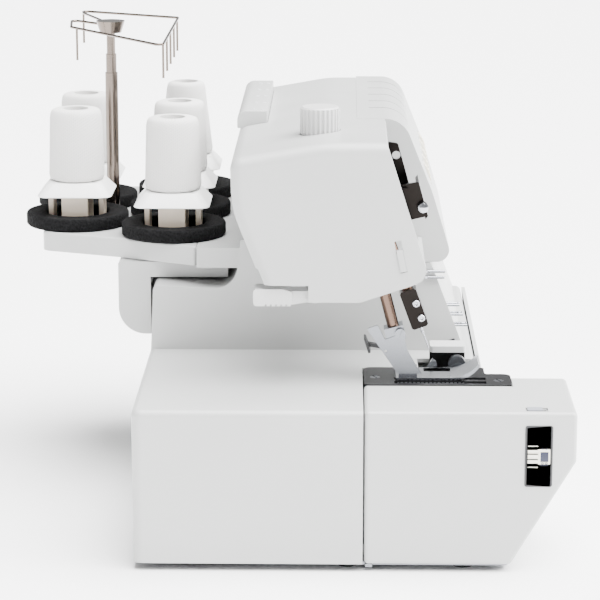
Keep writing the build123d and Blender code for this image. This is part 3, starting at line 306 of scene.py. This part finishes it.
cell_scale, cell_depth = 650.0, 0.0006
sponge, nodes, links, shader, place = surface_nodes("sponge")
cells = nodes.new("ShaderNodeTexVoronoi")
cells.inputs["Scale"].default_value = cell_scale
links.new(place, cells.inputs["Vector"])
links.new(tint(nodes, links, cells.outputs["Distance"], (0.0004, 0.0004, 0.0004), (0.005, 0.005, 0.0055),
               0.1, 0.8), shader.inputs["Base Color"])
shader.inputs["Roughness"].default_value = 0.95
shader.inputs["Specular IOR Level"].default_value = 0.15
relief(nodes, links, cells.outputs["Distance"], shader, cell_depth, 0.9)

pad_base, pad_top = tray_top + 0.0001, tray_top + 0.0090
pad_hole, pad_radius, round_steps = 0.0215, 0.0352, 96
for number, centre in enumerate(spool_centres, 1):
    pad = bmesh.new()
    turned(pad, [(pad_hole, pad_base), (0.0340, pad_base), (pad_radius, pad_base + 0.0012),
                 (pad_radius, pad_top - 0.0014), (0.0346, pad_top - 0.0003), (0.0334, pad_top),
                 (0.0285, pad_top - 0.0003), (0.0232, pad_top), (0.0219, pad_top - 0.0004),
                 (pad_hole, pad_top - 0.0014)], centre, round_steps)
    pad = model(f"sponge_pad_{number}", pad, "machine_body", sponge)
    shade_smooth(pad, 0.9)
    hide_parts("foam_pads")

# Spool holders. A moulded holder stands on each pin: a white flared skirt, square with rounded
# corners and with a rounded lip, on four flat cream legs, with a tube up through the thread.
skirt_low, skirt_lip, skirt_top = 0.1922, 0.1934, 0.2012
foot_half, rim_half, corner_points = 0.0253, 0.0184, 48
leg_thick, leg_width, leg_middle = 0.0036, 0.0180, 0.0172
bore_radius, tube_radius, tube_top = 0.0032, 0.0064, 0.2412


def squared(mesh, half, height, radius):
    """Ring of points round a square with rounded corners, centred on the upright line."""
    ring = bmesh.ops.create_circle(mesh, segments=corner_points, radius=radius)["verts"]
    for point in ring:
        x_side, y_side = [1.0 if value > 0.0 else -1.0 for value in (point.co.x, point.co.y)]
        point.co += Vector((x_side * (half - radius), y_side * (half - radius), height))
    return ring


def ring_loops(mesh, rings):
    """Edges of each ring of points, ready to be bridged."""
    return [[e for e in mesh.edges if all(v in ring for v in e.verts)] for ring in map(set, rings)]


holder_white = moulded_plastic("holder_white", (0.86, 0.86, 0.85), 0.3)
holder_cream = moulded_plastic("holder_cream", (0.50, 0.43, 0.35), 0.4)
for number, centre in enumerate(spool_centres, 1):
    skirt = bmesh.new()
    rings = [squared(skirt, half, height, radius) for half, height, radius in (
        (0.0150, skirt_lip, 0.0050),
        (foot_half - 0.0008, skirt_low, 0.0066),
        (foot_half - 0.0002, skirt_low + 0.0002, 0.0070),
        (foot_half, skirt_low + 0.0006, 0.0070),
        (foot_half - 0.0003, skirt_lip, 0.0070),
        (rim_half + 0.0006, skirt_top - 0.0006, 0.0064),
        (rim_half, skirt_top - 0.0001, 0.0060),
        (rim_half - 0.0006, skirt_top, 0.0056),
        (0.0090, skirt_top, 0.0050))]
    loops = ring_loops(skirt, rings)
    for lower, upper in zip(loops, loops[1:]):
        bmesh.ops.bridge_loops(skirt, edges=lower + upper)
    bmesh.ops.bridge_loops(skirt, edges=loops[0] + loops[-1])
    bmesh.ops.translate(skirt, vec=(centre[0], centre[1], 0.0), verts=skirt.verts)
    skirt = model(f"holder_skirt_{number}", skirt, "machine_body", holder_white)
    shade_smooth(skirt, 0.7)
    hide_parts("cone_adapters")
    legs = bmesh.new()
    for quarter in range(4):
        leg = bmesh.ops.create_cube(legs, size=1.0)["verts"]
        bmesh.ops.scale(legs, vec=(leg_thick, leg_width, skirt_low - tray_top), verts=leg)
        bmesh.ops.translate(legs, vec=(leg_middle, 0.0, (skirt_low + tray_top) / 2.0 + 0.0004), verts=leg)
        bmesh.ops.rotate(legs, matrix=Matrix.Rotation(quarter * pi / 2.0, 3, "Z"), verts=leg)
    bmesh.ops.bevel(legs, geom=legs.edges[:], offset=0.0006, segments=3, profile=0.5, affect="EDGES",
                    material=-1)
    bmesh.ops.translate(legs, vec=(centre[0], centre[1], 0.0), verts=legs.verts)
    legs = model(f"holder_legs_{number}", legs, "machine_body", holder_cream)
    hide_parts("cone_adapters")
    tube = bmesh.new()
    turned(tube, [(bore_radius, skirt_top - 0.0004), (tube_radius, skirt_top - 0.0004),
                  (tube_radius, 0.2408), (0.0060, tube_top), (0.0035, tube_top), (bore_radius, 0.2409)],
           centre, 40)
    tube = model(f"holder_tube_{number}", tube, "machine_body", holder_white)
    shade_smooth(tube)
    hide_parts("cone_adapters")

# Thread. Each holder carries a cone of white sewing thread, cross-wound on a paper tube so that
# the strands lean both ways; the third of the front row is taller and tapers more.
strand_scale, strand_lean, strand_depth = 6200.0, 0.34, 0.0004


def wound(name, colour):
    """Cross-wound thread: two sets of leaning strands over the cone's own unrolled surface."""
    material, nodes, links, shader, place = surface_nodes(name)
    unrolled = nodes.new("ShaderNodeUVMap")
    unrolled.uv_map = "unrolled"
    sets = []
    for lean in (strand_lean, -strand_lean):
        across = nodes.new("ShaderNodeVectorMath")
        across.operation = "DOT_PRODUCT"
        across.inputs[1].default_value = (lean * strand_scale, strand_scale, 0.0)
        links.new(unrolled.outputs["UV"], across.inputs[0])
        strand = nodes.new("ShaderNodeMath")
        strand.operation = "SINE"
        links.new(across.outputs["Value"], strand.inputs[0])
        sets.append(strand.outputs["Value"])
    over = nodes.new("ShaderNodeMath")
    over.operation = "MAXIMUM"
    links.new(sets[0], over.inputs[0])
    links.new(sets[1], over.inputs[1])
    links.new(tint(nodes, links, over.outputs["Value"], tuple(c * 0.86 for c in colour), colour, 0.0, 0.8),
              shader.inputs["Base Color"])
    links.new(between(nodes, links, noise(nodes, links, place, 60.0), 0.6, 0.8), shader.inputs["Roughness"])
    relief(nodes, links, over.outputs["Value"], shader, strand_depth, 0.8)
    return material


white_thread = wound("white_thread", (0.88, 0.87, 0.85))
cone_low, cone_wide, cone_bore = 0.2013, 0.0190, 0.0086
for number, centre in enumerate(spool_centres, 1):
    tall = number == 3
    height = 0.0525 if tall else 0.0490
    slim = 0.0135 if tall else 0.0172
    top = cone_low + height
    cone = bmesh.new()
    turned(cone, [(cone_bore, cone_low + 0.0004), (cone_wide - 0.0030, cone_low),
                  (cone_wide - 0.0006, cone_low + 0.0012), (cone_wide, cone_low + 0.0038),
                  (slim + 0.0006, top - 0.0060), (slim, top - 0.0026), (slim - 0.0010, top - 0.0010),
                  (slim - 0.0028, top - 0.0002), (cone_bore, top)], centre, round_steps)
    layer = cone.loops.layers.uv.new("unrolled")
    for face in cone.faces:
        middle = face.calc_center_median()
        around = atan2(middle.y - centre[1], middle.x - centre[0])
        for loop in face.loops:
            spot = loop.vert.co
            angle = atan2(spot.y - centre[1], spot.x - centre[0])
            angle += 2.0 * pi * round((around - angle) / (2.0 * pi))
            loop[layer].uv = (angle * cone_wide, spot.z)
    cone = model(f"thread_cone_{number}", cone, "machine_body", white_thread)
    shade_smooth(cone, 0.9)
    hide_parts("thread_cones")

# Column blade. A thin black strip with rounded ends lies slantwise, low on the column's near wall,
# and stands a fraction of a millimetre proud of it. It is a thin blade in a slot, and its black is
# partly painted shade that stands in for the dark slot.
blade_x = 0.150 - middle_x - 0.0003
slot_start = Vector((blade_x, -0.0585 - middle_y, 0.1052))
slot_end = Vector((blade_x, -0.0715 - middle_y, 0.1098))
blade_thick, blade_width = 0.0006, 0.0013
blade = bmesh.new()
bmesh.ops.create_cube(blade, size=1.0)
bmesh.ops.scale(blade, vec=(blade_thick, (slot_end - slot_start).length, blade_width), verts=blade.verts)
bmesh.ops.bevel(blade, geom=[e for e in blade.edges if abs((e.verts[0].co - e.verts[1].co).x) > 0.0001],
                offset=0.0006, segments=4, profile=0.5, affect="EDGES", material=-1)
bmesh.ops.rotate(blade, verts=blade.verts, cent=(0.0, 0.0, 0.0),
                 matrix=Matrix.Rotation(atan2((slot_end - slot_start).z, (slot_end - slot_start).y), 3, "X"))
bmesh.ops.translate(blade, vec=(slot_start + slot_end) / 2.0, verts=blade.verts)
# The strip's black is partly painted shade for the slot round the blade.
model("column_blade_slot_shade", blade, "machine_body", black_plastic)

# Needle clamp screws. Two bright socket-head screws with chamfered rims pinch the needles in the
# blackened clamp; each head is turned and has a six-sided socket.
needle_lean = radians(20.0)
bar_foot = Vector((0.090 - middle_x, -0.042 - middle_y, 0.147))
up_bar = Vector((0.0, sin(needle_lean), cos(needle_lean)))
across_bar = Vector((0.0, cos(needle_lean), -sin(needle_lean)))
head_radius, socket_radius, head_points = 0.0023, 0.0011, 48
heads = bmesh.new()
for height in (0.0020, -0.0080):
    centre = bar_foot + up_bar * height - across_bar * 0.0025
    rings = []
    for radius, x in ((head_radius, -0.0064), (head_radius, -0.0081), (0.0020, -0.0085),
                      (0.0013, -0.0085), (socket_radius, -0.0083), (socket_radius, -0.0070)):
        ring = bmesh.ops.create_circle(heads, segments=head_points, radius=radius)["verts"]
        for number, point in enumerate(ring):
            angle = 2.0 * pi * number / head_points
            reach = radius
            if radius == socket_radius:
                turn_in = angle % (pi / 3.0) - pi / 6.0
                reach = radius * cos(pi / 6.0) / cos(turn_in)
            point.co = centre + Vector((x, reach * cos(angle), reach * sin(angle)))
        rings.append(ring)
    loops = ring_loops(heads, rings)
    for outer, inner in zip(loops, loops[1:]):
        bmesh.ops.bridge_loops(heads, edges=outer + inner)
    bmesh.ops.contextual_create(heads, geom=loops[-1])
heads = model("clamp_screw_heads", heads, "needle_bar", chrome)
shade_smooth(heads, 0.5)
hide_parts("needle_clamp_screws")

# Rear thread guide. A moulded white strip rounded off at its rear edge lies along the head's top,
# with two rows of five thread holes. Here the holes are closed, and a raised grey ring marks each.
rear_rounding, edge_rounding, sharp_angle = 0.0065, 0.0008, 1.2
ring_rows, ring_first, ring_pitch = (0.0562, 0.0616), 0.182, 0.030
guide_low, guide_high = Vector((0.177, 0.053, 0.246)), Vector((0.317, 0.073, 0.2578))
strip = bmesh.new()
bmesh.ops.create_cube(strip, size=1.0)
bmesh.ops.scale(strip, vec=guide_high - guide_low, verts=strip.verts)
bmesh.ops.translate(strip, vec=(guide_low + guide_high) / 2.0 - Vector((middle_x, middle_y, 0.0)),
                    verts=strip.verts)
rear_edges = [e for e in strip.edges if all(v.co.y > guide_high.y - middle_y - 0.0001 and
                                            v.co.z > guide_high.z - 0.0001 for v in e.verts)]
bmesh.ops.bevel(strip, geom=rear_edges, offset=rear_rounding, segments=10, profile=0.5, affect="EDGES",
                material=-1)
bmesh.ops.bevel(strip, geom=[e for e in strip.edges if e.calc_face_angle(0.0) > sharp_angle],
                offset=edge_rounding, segments=3, profile=0.5, affect="EDGES", material=-1)
strip = model("rear_guide_strip", strip, "machine_body", white_plastic)
shade_smooth(strip, 0.5)
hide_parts("rear_thread_guide")
eyelets = bmesh.new()
for column in range(5):
    for row_y in ring_rows:
        spot = (ring_first + ring_pitch * column - middle_x, row_y - middle_y)
        turned(eyelets, [(0.0008, guide_high.z - 0.0005), (0.0014, guide_high.z - 0.0005),
                         (0.0015, guide_high.z + 0.0001), (0.0012, guide_high.z + 0.0003),
                         (0.0009, guide_high.z + 0.0001)], spot, 20)
eyelets = model("guide_eyelets", eyelets, "machine_body", grey_plastic)
shade_smooth(eyelets)

# Knife guard. A white moulded flap covers the upper knife. Below the flap its lower part is coloured
# black up to a sharp line: painted shade that stands in for the dark space under the flap.
shade_line_z, shade_blur = 0.1100, 0.0003
guard, nodes, links, shader, place = surface_nodes("knife_guard_painted_shade")
height = nodes.new("ShaderNodeSeparateXYZ")
links.new(place, height.inputs["Vector"])
shade_line = nodes.new("ShaderNodeMapRange")
shade_line.inputs["From Min"].default_value = shade_line_z
shade_line.inputs["From Max"].default_value = shade_line_z + shade_blur
links.new(height.outputs["Z"], shade_line.inputs["Value"])
# Black below the line is painted shade for the space under the flap; white above it.
links.new(tint(nodes, links, shade_line.outputs["Result"], (0.004, 0.004, 0.004), (0.49, 0.495, 0.49),
               0.2, 0.8), shader.inputs["Base Color"])
links.new(between(nodes, links, noise(nodes, links, place, gloss_scale), 0.3, 0.5),
          shader.inputs["Roughness"])
relief(nodes, links, noise(nodes, links, place, spark_scale, 2.0), shader, spark_depth, 0.25)
dress(guard, "white_plastic", "knife_guard")

# Bracket screw. A bright domed screw, turned and chromed, holds the dark threading bracket in the
# head's opening; its head faces left.
screw_radius, screw_height = 0.0034, 0.0024
screw = bmesh.new()
turned(screw, [(0.0, 0.0), (screw_radius, 0.0), (screw_radius, 0.0008), (0.0030, 0.0016),
               (0.0018, 0.0022), (0.0, screw_height)], (0.0, 0.0), 40, closed=False)
bmesh.ops.rotate(screw, verts=screw.verts, cent=(0.0, 0.0, 0.0),
                 matrix=Matrix.Rotation(-pi / 2.0, 3, "Y"))
bmesh.ops.translate(screw, vec=(0.0624 - middle_x, -0.0466 - middle_y, 0.2155), verts=screw.verts)
screw = model("bracket_screw", screw, "machine_body", chrome)
shade_smooth(screw, 0.5)

# Stitch dial. A moulded thumbwheel behind the side cover's window: its rear half is ribbed for
# the finger, its front half carries printed dark blocks with plain numerals between them.
dial_x, dial_y, dial_z = 0.0224 - middle_x, -0.1165 - middle_y, 0.0745
dial_radius, dial_half, band_sink, rib_depth = 0.0240, 0.0068, 0.0006, 0.0013
rib_count, band_edge = 44, dial_y + 0.0006
print_radius, print_y = dial_radius - 0.0005, dial_y - 0.0033
cell_turn = radians(45.0)
dial_plastic = moulded_plastic("dial_moulding", (0.80, 0.78, 0.69), 0.4)
wheel = bmesh.new()
rim = []
for step in range(2 * rib_count):
    angle = pi * step / rib_count
    reach = dial_radius - (rib_depth if step % 2 else 0.0)
    rim.append((reach, angle))
for low_y, high_y, ribbed in ((band_edge, dial_y + dial_half, True),
                              (dial_y - dial_half, band_edge, False)):
    outline = rim if ribbed else [(dial_radius - band_sink, angle) for reach, angle in rim]
    ring = [wheel.verts.new((dial_x - reach * cos(angle), low_y, dial_z + reach * sin(angle)))
            for reach, angle in outline]
    disc = wheel.faces.new(ring)
    grown = bmesh.ops.extrude_face_region(wheel, geom=[disc], use_keep_orig=True)
    bmesh.ops.translate(wheel, vec=(0.0, high_y - low_y, 0.0),
                        verts=[v for v in grown["geom"] if isinstance(v, bmesh.types.BMVert)])
bmesh.ops.bevel(wheel, geom=[e for e in wheel.edges if e.calc_face_angle(0.0) > sharp_angle],
                offset=0.00015, segments=2, profile=0.5, affect="EDGES", material=-1)
wheel = model("stitch_wheel", wheel, "stitch_dial", dial_plastic)
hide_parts("stitch_dial")

ink = moulded_plastic("dark_ink", (0.015, 0.017, 0.04), 0.5, 700.0, 0.004)
block_width, numeral_height = 0.0048, 0.0040
blocks = bmesh.new()
for number in range(8):
    for centre, spread in ((0.0, radians(15.0)), (radians(23.0), radians(6.0))):
        patch = bmesh.ops.create_grid(blocks, x_segments=8, y_segments=1, size=0.5)["verts"]
        for point in patch:
            turn_by = cell_turn * number + centre + point.co.x * spread
            across = print_y + point.co.y * block_width
            point.co = Vector((dial_x - print_radius * cos(turn_by), across,
                               dial_z + print_radius * sin(turn_by)))
model("stitch_dial_blocks", blocks, "stitch_dial", ink)
figures = bmesh.new()
upright = Matrix(((0.0, 0.0, -1.0), (-1.0, 0.0, 0.0), (0.0, 1.0, 0.0))).to_4x4()
for number in range(16):
    letter = bpy.data.curves.new("numerals", "FONT")
    letter.body = 2 * str(number % 8 + 1)
    letter.size = numeral_height
    letter.space_character = 1.15
    letter.align_x = "CENTER"
    letter.align_y = "CENTER"
    drawn = bpy.data.objects.new("numerals", letter)
    bpy.context.scene.collection.objects.link(drawn)
    flat = bpy.data.meshes.new_from_object(drawn)
    bpy.data.objects.remove(drawn)
    angle = cell_turn * (number // 2) + radians(14.0 if number % 2 == 0 else 33.0)
    spot = Matrix.Translation((dial_x, print_y, dial_z)) @ Matrix.Rotation(angle, 4, "Y")
    flat.transform(spot @ Matrix.Translation((-print_radius - 0.00008, 0.0, 0.0)) @ upright)
    figures.from_mesh(flat)
    bpy.data.meshes.remove(flat)
model("stitch_dial_numerals", figures, "stitch_dial", ink)

# Window frame. A thin black plastic frame is snapped into the side cover round the dial's window;
# its outer edge is rounded at the corners.
frame_middle = Vector((-middle_x, -0.1164 - middle_y, 0.07465))
frame_half_y, frame_half_z = 0.0084, 0.0192
border_width, border_proud, border_sink, border_corner = 0.0011, 0.0005, 0.0004, 0.0014
border = bmesh.new()
rings = []
for inward, out in ((0.0, border_sink), (0.0, -border_proud), (border_width, -border_proud),
                    (border_width, border_sink)):
    ring = bmesh.ops.create_circle(border, segments=corner_points, radius=border_corner - inward)["verts"]
    for point in ring:
        y_side = 1.0 if point.co.x > 0.0 else -1.0
        z_side = 1.0 if point.co.y > 0.0 else -1.0
        point.co = frame_middle + Vector((out, point.co.x + y_side * (frame_half_y - border_corner),
                                          point.co.y + z_side * (frame_half_z - border_corner)))
    rings.append(ring)
loops = ring_loops(border, rings)
for outer, inner in zip(loops, loops[1:] + loops[:1]):
    bmesh.ops.bridge_loops(border, edges=outer + inner)
model("dial_window_frame", border, "side_cover", black_plastic)

# Presser spring. A coil spring of round wire sits on the presser bar between its collar and the
# frame's upper boss.
bar_lean = radians(14.5)
spring_line = Vector((0.080 - middle_x, -0.0308 - middle_y, 0.130))
along_bar = Vector((0.0, sin(bar_lean), cos(bar_lean)))
spring_low, spring_high, coil_radius, wire = 0.0608, 0.0770, 0.00495, 0.00055
turns, coil_steps, wire_sides = 6.75, 162, 10
coil = bmesh.new()
section = bmesh.ops.create_circle(coil, segments=wire_sides, radius=wire)["verts"]
for point in section:
    point.co = (spring_line + along_bar * (spring_low + point.co.y)
                + Vector((coil_radius + point.co.x, 0.0, 0.0)))
bmesh.ops.spin(coil, geom=coil.verts[:] + coil.edges[:], cent=spring_line, axis=along_bar,
               dvec=along_bar * ((spring_high - spring_low) / coil_steps), angle=turns * 2.0 * pi,
               steps=coil_steps)
bmesh.ops.holes_fill(coil, edges=[e for e in coil.edges if e.is_boundary], sides=wire_sides + 2)
coil = model("presser_coil", coil, "machine_body", bright_steel)
shade_smooth(coil, 1.0)
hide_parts("presser_spring")
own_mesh(coil)
